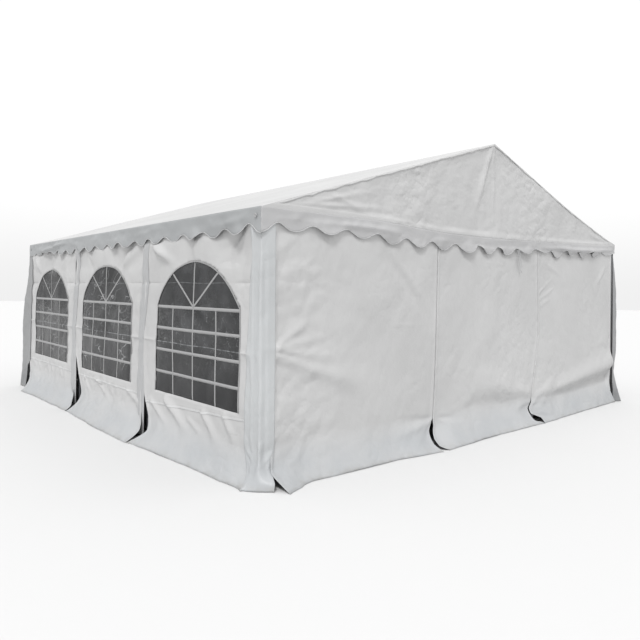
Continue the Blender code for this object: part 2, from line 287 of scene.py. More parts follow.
# Materials
class Nodes:
    """Nodes of a material or a sky. Most methods add a node and give back what comes out of it."""

    def __init__(self, tree, place="Object"):
        self.tree = tree
        self.place = self.add("TexCoord", {})[place]
        self.axes = self.add("SeparateXYZ", {"Vector": self.place})

    def feed(self, node, inputs):
        """Sets a node's sockets to numbers or colours, or links them to outputs of other nodes."""
        for name, value in inputs.items():
            socket = node.inputs[name]
            if isinstance(value, bpy.types.NodeSocket):
                self.tree.links.new(value, socket)
            else:
                socket.default_value = (*value, 1) if socket.type == "RGBA" else value

    def add(self, kind, inputs, **settings):
        node = self.tree.nodes.new("ShaderNode" + kind)
        for key, value in settings.items():
            setattr(node, key, value)
        self.feed(node, inputs)
        return node.outputs

    def math(self, operation, *values):
        return self.add("Math", dict(enumerate(values)), operation=operation)["Value"]

    def times(self, first, second):
        return self.math("MULTIPLY", first, second)

    def apart(self, value, middle):
        """How far a value is from a middle."""
        return self.math("ABSOLUTE", self.math("SUBTRACT", value, middle))

    def ranged(self, value, low, high, to_low=0.0, to_high=1.0, curve="SMOOTHSTEP"):
        inputs = {"Value": value, "From Min": low, "From Max": high, "To Min": to_low, "To Max": to_high}
        return self.add("MapRange", inputs, interpolation_type=curve)["Result"]

    def blend(self, low, high, share):
        """A colour between two, by a share."""
        return self.add("Mix", {"A": low, "B": high, "Factor": share}, data_type="RGBA")["Result"]

    def bump(self, height, distance, strength, before=None):
        inputs = {"Height": height, "Distance": distance, "Strength": strength}
        if before:
            inputs["Normal"] = before
        return self.add("Bump", inputs)["Normal"]


class Finish(Nodes):
    """A material made of one shader, whose numbers come from places on the object."""

    def __init__(self, name):
        self.mat = bpy.data.materials.new(name)
        self.mat.use_nodes = True
        super().__init__(self.mat.node_tree)

    def noise(self, scale, detail=3.0, roughness=0.55, place=None):
        inputs = {"Vector": place or self.place, "Scale": scale, "Detail": detail, "Roughness": roughness}
        return self.add("TexNoise", inputs)["Fac"]

    def folded(self, scale, turn, stretch):
        """Facets that meet in sharp creases: how far a turned and stretched noise is from its middle."""
        size = (1 / scale, 1 / scale, 1 / scale / stretch)
        inputs = {"Vector": self.place, "Rotation": turn, "Scale": size}
        turned = self.add("Mapping", inputs, vector_type="TEXTURE")["Vector"]
        return self.apart(self.noise(1.0, 1.0, 0.35, turned), 0.5)

    def done(self, inputs):
        self.feed(self.tree.nodes["Principled BSDF"], inputs)
        return self.mat


def shade(colour, factor):
    return tuple(channel * factor for channel in colour)


FOLDINGS = ((3.6, (0.2, 0.7, 0.4), 0.35, 0.020), (6.0, (1.2, 0.3, 2.1), 0.4, 0.016),
            (7.0, (0.6, 2.2, 1.3), 0.4, 0.014), (13.0, (2.0, 1.1, 0.5), 0.5, 0.006))


def fabric(name, colour, crinkle=1.0, foot=(0.40, 0.413, 0.425)):
    """Coated polyester: a scrim weave under a soft gloss, small creases in patches, a darker tint towards the
    ground and grime at the hem.
    """
    cloth = Finish(name)
    level = cloth.axes["Z"]
    patches = cloth.ranged(cloth.noise(1.2, 5.0), 0.3, 0.7)
    tint = cloth.blend(shade(colour, 0.95), shade(colour, 1.04), patches)
    # The tint turns darker towards the ground, in patches.
    foot_mottle = cloth.ranged(cloth.noise(2.6, 4.0), 0.3, 0.7, 0.55, 1.0)
    tint = cloth.blend(tint, foot, cloth.times(cloth.ranged(level, 0.36, 0.1), foot_mottle))
    grime = cloth.ranged(cloth.noise(11.0, 6.0), 0.35, 0.75, 0.0, 0.7)
    tint = cloth.blend(tint, (0.33, 0.325, 0.31), cloth.times(cloth.ranged(level, 0.06, 0.0), grime))
    total = 0.0
    for scale, turn, stretch, tall in FOLDINGS:
        total = cloth.math("MULTIPLY_ADD", cloth.folded(scale, turn, stretch), tall * crinkle, total)
    patchy = cloth.ranged(cloth.noise(0.9, 1.0), 0.4, 0.62, 0.2, 1.0)
    bump = cloth.bump(cloth.times(total, patchy), 1.0, 1.0)
    bump = cloth.bump(cloth.noise(30.0), 0.001 * crinkle, 0.4, bump)
    bump = cloth.bump(cloth.noise(620.0, 1.0), 0.0001, 0.25, bump)
    return cloth.done({"Roughness": 0.45, "Specular IOR Level": 0.5, "Base Color": tint, "Normal": bump})


def film_material():
    """Clear film whose colour is painted shade, dark for the shaded inside seen through it and darker towards
    the bottom and the back end, with white marks at its folds, partly the film's whitening and partly painted
    highlight, painted glints along its crinkles near the folds and, on the farther windows, fine streaks of
    painted reflection."""
    film = Finish("window_film")
    level = film.axes["Z"]
    # Painted shade: the film's colour is dark for the shaded inside, darker towards the bottom and towards
    # the back end.
    cloudy = film.ranged(film.noise(3.5, 4.0), 0.38, 0.68)
    tint = film.blend((0.036, 0.037, 0.038), (0.064, 0.065, 0.068), cloudy)
    tint = film.blend((0.018, 0.018, 0.019), tint, film.ranged(level, 0.45, 0.95, 0.2, 1.0))
    tint = film.blend(tint, (0.016, 0.016, 0.017), film.ranged(film.axes["Y"], 0.9, 1.3, 0.0, 0.6))
    wander = film.math("MULTIPLY_ADD", film.noise(2.0, 0.0), 0.024, level)
    highlight_breakup = film.noise(14.0, 4.0)
    # White marks along the two folds: partly the film's whitening, partly painted highlight.
    for height, wide, strength in ((FOLD_LOW + 0.012, 0.006, 0.9), (FOLD_HIGH + 0.012, 0.005, 0.5)):
        mark = film.ranged(film.apart(wander, height), wide, 0.0)
        mark = film.times(mark, film.ranged(highlight_breakup, 0.4, 0.6, 0.2, strength))
        tint = film.blend(tint, (0.30, 0.31, 0.32), mark)
    crinkle = film.folded(16.0, (0.4, 1.3, 0.2), 0.6)
    # Painted glints: light lines along the crinkles near the folds.
    line = film.times(film.ranged(crinkle, 0.012, 0.0), film.ranged(highlight_breakup, 0.45, 0.58))
    near_fold = film.ranged(film.apart(level, 1.1), 0.4, 0.0)
    tint = film.blend(tint, (0.25, 0.255, 0.26), film.times(line, near_fold))
    # Painted reflection: fine light streaks on the farther windows.
    streak = film.ranged(film.folded(9.0, (1.1, 0.5, 0.3), 0.45), 0.010, 0.002)
    streak = film.times(streak, film.ranged(film.noise(2.6, 1.0), 0.48, 0.56))
    streak = film.times(streak, film.ranged(film.axes["Y"], -1.0, -0.7))
    tint = film.blend(tint, (0.34, 0.345, 0.35), streak)
    bump = film.bump(crinkle, 0.0025, 1.0)
    bump = film.bump(film.folded(2.2, (0.9, 0.2, 0.7), 0.5), 0.03, 1.0, bump)
    return film.done({"Roughness": 0.14, "IOR": 1.45, "Specular IOR Level": 0.24, "Alpha": 0.92,
                      "Base Color": tint, "Normal": bump})


def steel_material():
    """Galvanised steel with a faint spangle."""
    steel = Finish("galvanised_steel")
    spangle = steel.add("TexVoronoi", {"Vector": steel.place, "Scale": 90.0})["Color"]
    grey = steel.blend((0.42, 0.44, 0.46), (0.6, 0.62, 0.64), spangle)
    worn = steel.ranged(steel.noise(25.0, 4.0), 0.0, 1.0, 0.32, 0.55, "LINEAR")
    return steel.done({"Metallic": 0.9, "Base Color": grey, "Roughness": worn})


def plain_material(name, colour, roughness):
    plain = Finish(name)
    tint = plain.blend(shade(colour, 0.93), colour, plain.noise(30.0))
    return plain.done({"Base Color": tint, "Roughness": roughness})


ROOF_CLOTH = fabric("roof_cloth", (0.52, 0.52, 0.52), 0.5)
GABLE_CLOTH = fabric("gable_cloth", (0.50, 0.50, 0.50), 2.3)
# Valance cloth in two tones of painted shade, darker than the walls, and darker on the long sides than on the
# gables.
VALANCE_SHADE_CLOTH = {"long": fabric("valance_cloth_long_painted_shade", (0.33, 0.34, 0.346), 0.8),
                 "gable": fabric("valance_cloth_gable_painted_shade", (0.43, 0.43, 0.434), 0.8)}
WALL_CLOTH = fabric("wall_cloth", (0.495, 0.495, 0.495), 1.1)
COVER_CLOTH = fabric("cover_cloth", (0.475, 0.488, 0.495), 0.9)
# Cover cloth darkened with painted shade, for the two far corner covers that stand in shade.
SHADED_COVER_CLOTH = fabric("cover_cloth_painted_shade", (0.285, 0.289, 0.292), 1.2, (0.20, 0.204, 0.21))
STRIP_CLOTH = fabric("strip_cloth", (0.40, 0.405, 0.41), 1.0, (0.32, 0.325, 0.33))
HEM_CLOTH = fabric("hem_cloth", (0.53, 0.533, 0.535), 0.4)
WINDOW_FILM = film_material()
WINDOW_BAR = plain_material("window_bar", (0.33, 0.33, 0.332), 0.4)
STEEL = steel_material()
ROPE = plain_material("tie_strap", (0.45, 0.455, 0.46), 0.7)
EYELET = plain_material("eyelet", (0.42, 0.42, 0.42), 0.35)


# Roof
def roof_height(x):
    return RIDGE_Z - np.abs(x) * math.tan(RAKE)


def rake_rise(x):
    """How far the front rake stands up from its straight line towards its right-hand end."""
    return 0.085 * np.clip((x - 1.2) / 1.8, 0, None) ** 1.8


def hem_rise(s):
    """How far the front eave line is off level: it sags past its middle and lifts at its right-hand end."""
    sag = 0.038 * smooth(-1.8, -0.74, s) * smooth(1.5, -0.5, s)
    return 0.065 * np.clip((s - 1) / 2, 0, None) ** 1.8 - sag


def roof():
    """Sheet over both slopes. It sags a little between the rafters and rolls over the rakes at both ends."""
    across = levels(0.0, COVER_HALF, 0.06, (0.0, 0.12, 0.02), (COVER_HALF, 0.2, 0.02))
    lip = 0.016               # reach of the sheet past the cover's length
    turn = 0.014              # radius of its bend over a rake
    along = levels(0.0, COVER_HALF + lip, 0.06, (COVER_HALF, 0.3, 0.018))
    x, v = np.meshgrid(*(np.concatenate([-half[:0:-1], half]) for half in (across, along)))
    beyond = np.clip(np.abs(v) - (COVER_HALF - turn), 0, None)
    angle = np.clip(beyond / turn, 0, np.pi / 2)
    down = turn * (1 - np.cos(angle)) + np.clip(beyond - turn * np.pi / 2, 0, None)
    y = np.sign(v) * (np.minimum(np.abs(v), COVER_HALF - turn) + turn * np.sin(angle))
    ragged = 1 + 0.7 * noise(x * 9, np.sign(v) * 3, 31) + 0.8 * noise(x * 27, np.sign(v) * 3, 34)
    z = roof_height(x) - down * ragged
    z -= 0.006 * np.exp(-(x / 0.04) ** 2)
    inside = np.clip(1 - np.abs(y) / HALF, 0, 1)
    bay = np.sin(np.pi * (y + 1) / 2) ** 2
    slope = np.sin(np.pi * np.clip(np.abs(x) / HALF, 0, 1))
    z -= 0.022 * bay * slope * smooth(0, 0.2, inside)
    z += 0.006 * noise(x * 0.9, y * 0.9, 32) * slope
    edge = smooth(0.35, 0.0, COVER_HALF - np.abs(y))
    z += edge * facets(x, y, 33, 0.14, 0.010)
    z += rake_rise(x) * smooth(1.3, 0.0, y + COVER_HALF)
    obj = grid_object("cloth_roof", np.stack([x, y, z], axis=-1), False, ROOF_CLOTH,
                      ["roof_cover"], thickness=ROOF_THICK)


# Gables
GABLE_TUCKS = (((-2.8, 2.165), (-1.5, 2.24)), ((-2.6, 2.19), (-1.75, 2.38)), ((-2.35, 2.3), (-1.9, 2.17)),
               ((2.8, 2.15), (2.4, 2.26)), ((2.6, 2.17), (2.2, 2.3)))


def gable_relief(s, z, seed):
    """How far a gable stands out of its plane."""
    below_rake = (roof_height(s) - z) * math.cos(RAKE)
    out = 0.016 * noise(s * 0.7, z * 0.9, seed)
    out += facets(s, z * 0.8, seed + 1, 0.3, 0.024)
    out += facets(s, z, seed + 2, 0.12, 0.014)
    out += facets(s, z, seed + 3, 0.055, 0.007)
    out += crease(s, z, (-0.04, 3.06), (-0.34, 2.3), 0.02, 0.026, 1.2, both=False)
    out += crease(s, z, (0.0, 3.05), (0.02, 2.3), 0.012, 0.018, 0.8, both=False)
    out += creases(s, z, GABLE_TUCKS, 0.026, 0.012)
    out = out * (0.15 + 0.85 * smooth(0.0, 0.10, below_rake)) + 0.0075
    hem = smooth(VALANCE_TOP + 0.07, VALANCE_TOP + 0.02, z)
    return out * (1 - hem) + 0.0108 * hem + 0.0025 * smooth(VALANCE_TOP + 0.038, VALANCE_TOP + 0.032, z)


def gable(side, seed):
    """Triangular sheet from the eave line up to the rakes."""
    s = levels(-HALF, HALF, CELL[side])
    u = np.concatenate([np.linspace(0, 0.1, 7)[:-1], np.linspace(0.1, 1, 56)])
    s, u = np.meshgrid(s, u)
    low = roof_height(COVER_HALF) - 0.004
    z = low + (roof_height(s) - 0.004 - low) * u
    out = gable_relief(s, z, seed)
    if side == "front":
        z = z + hem_rise(s) * (1 - u) + rake_rise(s) * u
    obj = grid_object(f"cloth_gable_{side}", on_side(side, s, z, out), False, GABLE_CLOTH,
                      [f"gable_{side}"])


# Valance
def lobe_share(s, count, shift):
    """0 at the bottom of a scallop and 1 at the peak between two."""
    ends = smooth(0.0, 0.3, HALF - np.abs(s))
    swing = (shift + 0.05 * noise(s * 0.9, 0.3, 51) + 0.13 * smooth(1.1, 2.6, s)) * ends
    turn = 2 * np.pi * (s + HALF + swing) / (2 * HALF / count)
    return (0.5 - 0.5 * np.cos(turn)) ** 1.15


# Knots of (place, height over VALANCE_LOW) for the front scallops
FRONT_BOTTOMS = ((-3, 0.01), (-2.7, 0.032), (-1.9, 0.032), (-1.7, 0.01), (-0.5, -0.011), (0.24, 0.0),
                 (0.65, 0.04), (1.06, 0.068), (1.34, 0.022), (1.65, 0.066), (2.4, 0.066), (2.76, 0.116),
                 (3, 0.166))
FRONT_PEAKS = ((-3, 0.088), (-1.8, 0.088), (-1.2, 0.066), (-0.64, 0.07), (0.8, 0.092), (1.3, 0.10),
               (3, 0.172))
# Knots of (place, share of a full curl outward) for the lower edge of a valance
CURLS = {"front": ((-2.95, 0), (-2.67, -1), (-2.28, 1), (-1.92, -1), (-1.58, -0.8), (-1.13, 1), (-0.85, -1),
                   (-0.42, 0.8), (-0.1, 0.3), (0.25, -0.8), (0.6, 0.7), (1.0, -0.7), (1.6, 0.6), (2.1, -0.9),
                   (3, 0)),
         "left": ((-2.95, 0), (-2.68, 0.6), (-2.4, -1), (-2.05, 0.9), (-1.66, -1), (-1.29, 0.6), (-0.9, -0.8),
                  (-0.4, 0.8), (0.1, -0.6), (0.6, 0.7), (1.1, -0.8), (1.7, 0.4), (2.3, -0.6), (3, 0))}


def valance_out(side, s, t, seed):
    """Distance of a valance out of the wall; t is 0 at its top and 1 at its lowest."""
    ends = smooth(0.0, 0.35, HALF - np.abs(s))
    low = np.clip((t - 0.3) / 0.7, 0, 1)
    if side in CURLS:
        curl = through(CURLS[side], s)
    else:
        curl = 3 * noise(s * 1.5, 0.7, seed + 7)
    wave = 0.6 * noise(s * 1.7, 0.5, seed) * ends + 0.25 * (1 - ends)
    out = COVER_HALF - HALF - 0.0006 + 0.032 * wave * t ** 1.5 + 0.014 * np.sin(np.pi * t / 1.5) * ends
    out += 0.040 * curl * ends * low ** 1.6
    out += 0.032 * noise(s * 4.2, t * 0.9, seed + 1) * ends * smooth(0.0, 0.5, t)
    band = np.exp(-((t - 0.45 - 0.4 * noise(s * 1.1, 0.2, seed + 8)) / 0.13) ** 2)
    out += 0.06 * band * noise(s * 0.9, 3.4, seed + 9) * ends
    if side == "front":
        tuck = 0.028 * np.exp(-((t - 0.33) / 0.14) ** 2) - 0.02 * smooth(0.42, 0.6, t)
        out += tuck * smooth(1.0, 1.5, s) * ends
    out += facets(s, t * 0.2, seed + 2, 0.16, 0.028, 0.45) * smooth(0.0, 0.3, t)
    least = 0.0105 - 0.004 * t
    return least + np.logaddexp(0, (out - least) / 0.004) * 0.004


def valance(side, seed, count, shift, calm_to):
    """Scalloped strip sewn under the edge of the roof, with piping along its lower edge."""
    s = np.linspace(-HALF, HALF, 32 * count + 1)
    uneven = smooth(calm_to, calm_to + 0.6, s)
    inner = smooth(0, 0.2, HALF - np.abs(s))
    rise = np.zeros(s.shape)
    bottom = 0.003 + 0.030 * uneven
    peak = 0.080 - 0.019 * smooth(-2.85, -2.6, s)
    if side == "front":
        bottom = through(FRONT_BOTTOMS, s)
        peak = through(FRONT_PEAKS, s)
        rise = hem_rise(s) + 0.02 * smooth(2.7, 3.0, s)
    elif side == "back":
        bottom = 0.010 + 0.012 * uneven
        peak = 0.088 - 0.024 * smooth(-1.8, -1.2, s)
    elif side == "right":
        rise = 0.082 * smooth(1.3, 0.0, COVER_HALF - s)
        bottom += 0.13 * smooth(2.2, 3.0, s)
        peak += 0.13 * smooth(2.2, 3.0, s)
    low = VALANCE_LOW + bottom + (peak - bottom) * lobe_share(s, count, shift)
    low += (0.006 + 0.010 * uneven) * noise(s * 2.6, 0.7, seed + 5) * inner
    low += 0.014 * uneven * noise(s * 6.1, 0.3, seed + 6) * inner
    top = roof_height(COVER_HALF) - 0.0016
    tall = top - VALANCE_LOW
    s, u = np.meshgrid(s, np.linspace(0, 1, 13))
    z = top + rise + (low - top - rise) * u
    out = valance_out(side, s, (top + rise - z) / tall, seed)
    points = on_side(side, s * (HALF + out) / HALF, z, out)
    # The long sides take the darker of the two painted-shade valance cloths.
    cloth = VALANCE_SHADE_CLOTH["long" if is_long(side) else "gable"]
    obj = grid_object(f"cloth_valance_{side}", points, not is_long(side), cloth,
                      [f"valance_{side}"], thickness=ROOF_THICK)
    piping = dress(tube_object(f"piping_{side}", points[-1][::2], PIPING_R, HEM_CLOTH, 5))
    piping.parent = obj


# Walls
class Panel:
    """One wall panel: its edges, as places along the side at some heights, and its own creases."""

    def __init__(self, side, number, seed):
        n = number - 1
        self.side, self.number = side, number
        self.node_number = number if side in NEAR_SIDES else 4 - number
        self.seed = seed + 7 * n
        self.window = None
        self.tilt = HEM_TILTS[n]
        if is_long(side):
            self.start, self.end = LONG_EDGES[n]
            self.flare = LEFT_FLARE
            self.window = (number - 2) * WINDOW_AT
            self.folds = windowed_folds(self.window, self.tilt, seed + 20 * n)
        else:
            self.start, self.end = GABLE_EDGES[n]
            self.flare = FRONT_FLARE
            self.folds = (front_folds_1, front_folds_2, front_folds_3)[n]

    def edges(self, z):
        return through(self.start, z), through(self.end, z)

    def relief(self, s, z):
        """Distance out of the wall's plane."""
        s, z = np.broadcast_arrays(s, z)
        left, right = self.edges(z)
        inside = np.minimum(s - left, right - s)
        to_slit = inside
        if self.window is None and self.number != 2:
            to_slit = right - s if self.number == 1 else s - left
        share = skirt(z) ** (1 + 0.88 * smooth(0.25, 0.0, to_slit))
        out = lean(s, z, self.side) + through(self.flare, s) * share
        if self.window is None and self.number == 1:
            out += 0.12 * np.clip(1 - z / 0.12, 0, 1) ** 1.2 * smooth(0.35, 0.0, s - left)
        held = 0.15 + 0.85 * smooth(2.1, 1.97, z)
        out += 0.022 * noise(s * 0.8 + 3, z * 0.7, self.seed) * smooth(0, 0.3, inside) * held
        out += 0.012 * noise(s * 2.1, z * 1.6, self.seed + 1) * smooth(0, 0.15, inside) * held
        free = smooth(0, 0.05, inside) * held
        if self.window is not None:
            beside = smooth(WINDOW_HALF + 0.02, WINDOW_HALF - 0.08, np.abs(s - self.window))
            level = smooth(SILL - 0.03, SILL + 0.06, z) * smooth(ARCH_TOP, ARCH_TOP - 0.1, z)
            free *= 1 - 0.75 * beside * level
        out += facets(s, z, self.seed + 2, 0.42, 0.016) * free
        out += facets(s, z, self.seed + 3, 0.15, 0.008) * free
        hem = 0.0025 * smooth(0.034, 0.028, inside)
        tucked = 0.010 * smooth(0.010, 0.0, inside) * smooth(0.2, 0.3, z)
        return under_valance(out + hem - tucked + self.folds(s, z) * free, z)

    def height(self, s, z):
        """The ground hem lifts a little here and there."""
        lift = 0.010 * np.clip(noise(s * 1.7, 0.2, self.seed + 7), 0, 1) + 0.002
        return z + lift * smooth(0.12, 0.0, z)

    def points(self, s, z, proud=0.0):
        return on_side(self.side, s, self.height(s, z), self.relief(s, z) + proud)


# Folds of the front panels: ends of the rays of a star, or whole folds, with widths and heights
CORNER_STAR = (((-1.75, 0.62), 0.045, 0.036), ((-2.1, 0.80), 0.022, -0.022), ((-1.95, 0.93), 0.03, 0.012),
               ((-2.3, 1.14), 0.018, 0.014), ((-2.45, 1.3), 0.016, 0.014), ((-2.62, 0.55), 0.018, -0.012))
WIDE_FOLDS = (((-1.75, 1.95), (-0.98, 1.18), 0.045, -0.014), ((-1.62, 1.92), (-1.05, 1.35), 0.03, 0.012),
              ((-1.6, 1.19), (-1.2, 1.19), 0.01, 0.005), ((-2.7, 1.62), (-2.45, 1.78), 0.015, 0.007),
              ((-2.62, 1.8), (-2.5, 1.55), 0.015, 0.007))
SLIT_PULLS = (((-1.60, 0.16), 0.02, 0.018), ((-1.5, 0.30), 0.02, -0.012), ((-1.42, 0.23), 0.016, -0.013),
              ((-1.3, 0.08), 0.016, 0.010))
LEFT_DRAPES = (((-0.3, 0.34), 0.025, 0.016), ((0.1, 0.36), 0.03, -0.012), ((-0.45, 0.22), 0.016, -0.010),
               ((-0.5, 0.12), 0.016, 0.008))
RIGHT_DRAPES = (((-0.6, 0.62), 0.10, 0.065), ((-0.4, 0.38), 0.08, -0.050), ((0.35, 0.2), 0.02, 0.010))
LONG_PULLS = (((5.6, 0.96), 0.09, 0.075), ((5.6, 0.56), 0.08, -0.065), ((1.6, 0.2), 0.02, 0.010),
              ((1.9, 0.75), 0.03, 0.010))
SEAM_TUCKS = (((1.0, 1.42), (1.42, 1.6)), ((1.0, 1.50), (1.36, 1.72)), ((1.0, 1.35), (1.3, 1.45)))
FREE_TUCKS = (((1.1, 1.9), (1.6, 1.7)), ((2.5, 1.6), (2.85, 1.95)), ((2.6, 0.9), (2.88, 0.75)))


def front_folds_1(s, z):
    """Creases that fan out of the near corner, and pulls above the slit at the first seam."""
    near = smooth(-1.9, -2.7, s)
    out = (facets(s, z, 71, 0.2, 0.026, 0.45) + facets(s, z, 72, 0.1, 0.015, 0.45)) * near
    out += fan(s, z, (-2.90, 1.04), CORNER_STAR, 1.6) + creases(s, z, WIDE_FOLDS)
    return out + fan(s, z, (-0.95, 0.27), SLIT_PULLS, 1.5)


def front_folds_2(s, z):
    """Broad drape above the hem between the two pulled seams."""
    out = fan(s, z, (-0.94, 0.27), LEFT_DRAPES, 1.5) + fan(s, z, (0.87, 0.25), RIGHT_DRAPES, 1.6)
    return out + crease(s, z, (-0.5, 0.9), (0.6, 1.25), 0.12, 0.010)


def front_folds_3(s, z):
    """A pull from the second slit up to the far corner, and small folds beside the seam."""
    out = fan(s, z, (0.87, 0.23), LONG_PULLS, 1.5) + creases(s, z, SEAM_TUCKS, 0.014, 0.010, both=False)
    return out + creases(s, z, FREE_TUCKS, 0.03, 0.012)


def hem_height(s, centre, tilt):
    """Height of the hem under a window, where the lower part of the panel starts."""
    return SILL - 0.087 + tilt * (s - centre)


NEAR_DRAPES = (((-1.21, 0.41), (-1.62, 0.20), 0.022, 0.020), ((-1.51, 0.46), (-2.00, 0.20), 0.034, 0.034),
               ((-1.93, 0.34), (-2.22, 0.23), 0.016, 0.014), ((-2.18, 0.45), (-2.45, 0.20), 0.028, 0.030),
               ((-2.51, 0.48), (-2.70, 0.25), 0.024, 0.022), ((-1.00, 0.42), (-1.25, 0.25), 0.020, 0.014))


def windowed_folds(centre, tilt, seed):
    """Creases of a windowed panel: two level ones, drapes in the corners over the arch and under the sill."""
    rng = np.random.default_rng(seed)
    drapes = []
    for place in np.linspace(-0.72, 0.8, 6):
        at = centre + place + rng.uniform(-0.1, 0.1)
        start = (at, hem_height(at, centre, tilt) - 0.01)
        end = (at - rng.uniform(0.12, 0.42), rng.uniform(0.16, 0.30))
        drapes.append((start, end, rng.uniform(0.014, 0.03), rng.uniform(0.006, 0.022)))
    if tilt:
        drapes = NEAR_DRAPES
    tops = []
    for sign in (-1, 1):
        for _ in range(2):
            start = (centre + sign * rng.uniform(0.62, 0.86), rng.uniform(1.9, 2.05))
            end = (centre + sign * rng.uniform(0.3, 0.48), rng.uniform(1.62, 1.74))
            wide = rng.uniform(0.035, 0.06)
            tops.append((start, end, wide, rng.choice((-1, 1)) * rng.uniform(0.02, 0.034)))
    tops.append(((centre + rng.uniform(-0.1, 0.1), 2.0), (centre, 1.72), 0.05, 0.012))
    strength = rng.uniform(0.8, 1.2, 2)

    def folds(s, z):
        out = level_fold(z, FOLD_HIGH, -0.012 * strength[0], 0.035) - level_fold(z, FOLD_HIGH, 0.004, 0.008)
        out += level_fold(z, FOLD_LOW, 0.011 * strength[1], 0.03) + level_fold(z, FOLD_LOW, 0.005, 0.007)
        out *= 1 - 0.93 * smooth(0.05, -0.03, np.abs(s - centre) - window_half(z))
        out += facets(s, z, seed, 0.2, 0.024, 0.45) * smooth(0.62, 0.8, np.abs(s - centre))
        puckers = facets(s, z, seed + 1, 0.45, 0.03, 0.45) + 0.05 * noise(s * 2.3, z * 1.9, seed + 2)
        out += puckers * smooth(1.45, 1.8, z)
        return out + creases(s, z, drapes, 0.6, both=False) + creases(s, z, tops)

    return folds


OPENING_AREA = 2 * WINDOW_HALF * (ARCH_TOP - SILL) * 0.9
BAR_LEVELS = (1.33, 1.13, 0.925, 0.715)
BAR_ASIDE = 0.365         # an upright bar's distance from the window's middle
RAY_END = (0.39, 1.635)   # where the two sloping bars in the arch end
ARCH_RISE = ARCH_TOP - SPRING
ARCH_R = (WINDOW_HALF ** 2 + ARCH_RISE ** 2) / (2 * ARCH_RISE)
ARCH_CENTRE = ARCH_TOP - ARCH_R


def window_half(z, margin=0.0):
    """Half the width of the window at a height."""
    radius = ARCH_R + margin
    rise = np.clip(np.asarray(z, float) - ARCH_CENTRE, 0, radius)
    arched = np.sqrt(np.maximum(radius ** 2 - rise ** 2, 0))
    return np.minimum(arched, WINDOW_HALF + margin)


def cut_arch(s, z, centre, cell):
    """Moves grid points near the arch onto it, and says which cells lie outside the window."""
    local = s - centre
    rise = z - ARCH_CENTRE
    radius = np.hypot(local, rise)
    near = (np.abs(radius - ARCH_R) < 0.52 * cell) & (z > SPRING + 0.01)
    near &= np.abs(local) < WINDOW_HALF + 0.01
    factor = np.where(near, ARCH_R / np.maximum(radius, 1e-6), 1.0)
    s = centre + local * factor
    z = ARCH_CENTRE + rise * factor
    middle_s, middle_z = ((at[:-1, :-1] + at[1:, 1:] + at[:-1, 1:] + at[1:, :-1]) / 4 for at in (s, z))
    aside = np.abs(middle_s - centre)
    inside = (middle_z > SILL) & (middle_z < ARCH_TOP) & (aside < window_half(middle_z))
    return s, z, ~inside


def make_panel(panel):
    """The sheet of a wall panel, with its window cut out."""
    window = panel.window
    cell = CELL[panel.side]
    heights = levels(0.0, WALL_TOP - 0.004, cell, (0.0, 0.42, 0.018), (FOLD_HIGH, 0.03, 0.006),
                     (FOLD_LOW, 0.03, 0.006))
    top_left, top_right = panel.edges(WALL_TOP)
    wide = float(top_right - top_left)
    places = levels(0.0, 1.0, cell / wide, (0.0, 0.01, 0.0025), (0.0, 0.03, 0.005), (1.0, 0.012, 0.0025),
                    (1.0, 0.03, 0.005))
    if window is not None:
        heights = with_stops(heights, SILL, SPRING)
        places = with_stops(places, *[(window + sign * WINDOW_HALF - top_left) / wide for sign in (-1, 1)])
    u, z = np.meshgrid(places, heights)
    left, right = panel.edges(z)
    s = left + (right - left) * u
    keep = None
    area = wide * WALL_TOP
    if window is not None:
        straight = top_left + wide * u
        s = np.where(z > SILL - 0.12, straight + (s - straight) * np.abs(u - 0.5) * 2, s)
        s, z, keep = cut_arch(s, z, window, cell)
        area = max(area - OPENING_AREA, 0.31 * area)
    name = f"{panel.side}_{panel.number}"
    obj = grid_object(f"cloth_{name}", panel.points(s, z), is_long(panel.side), WALL_CLOTH,
                      [f"wall_{panel.side}_{panel.node_number}"], keep)


def ribbon(name, panel, strips, proud, mat, thickness=CLOTH):
    """Strips welded to a panel, each between rows of (place, height) points."""
    grids = [panel.points(*np.moveaxis(np.array(rows), -1, 0), proud) for rows in strips]
    grid_object(name, grids, is_long(panel.side), mat, thickness=thickness)


def bar_rows(start, end, count, share):
    """Rows of points along the two sides and the middle of a window bar; share is its width in bars."""
    run = (end - start) / np.linalg.norm(end - start)
    aside = np.array([-run[1], run[0]]) * share * BAR / 2
    return [np.linspace(start, end, count) + aside * step for step in (-1, 0, 1)]


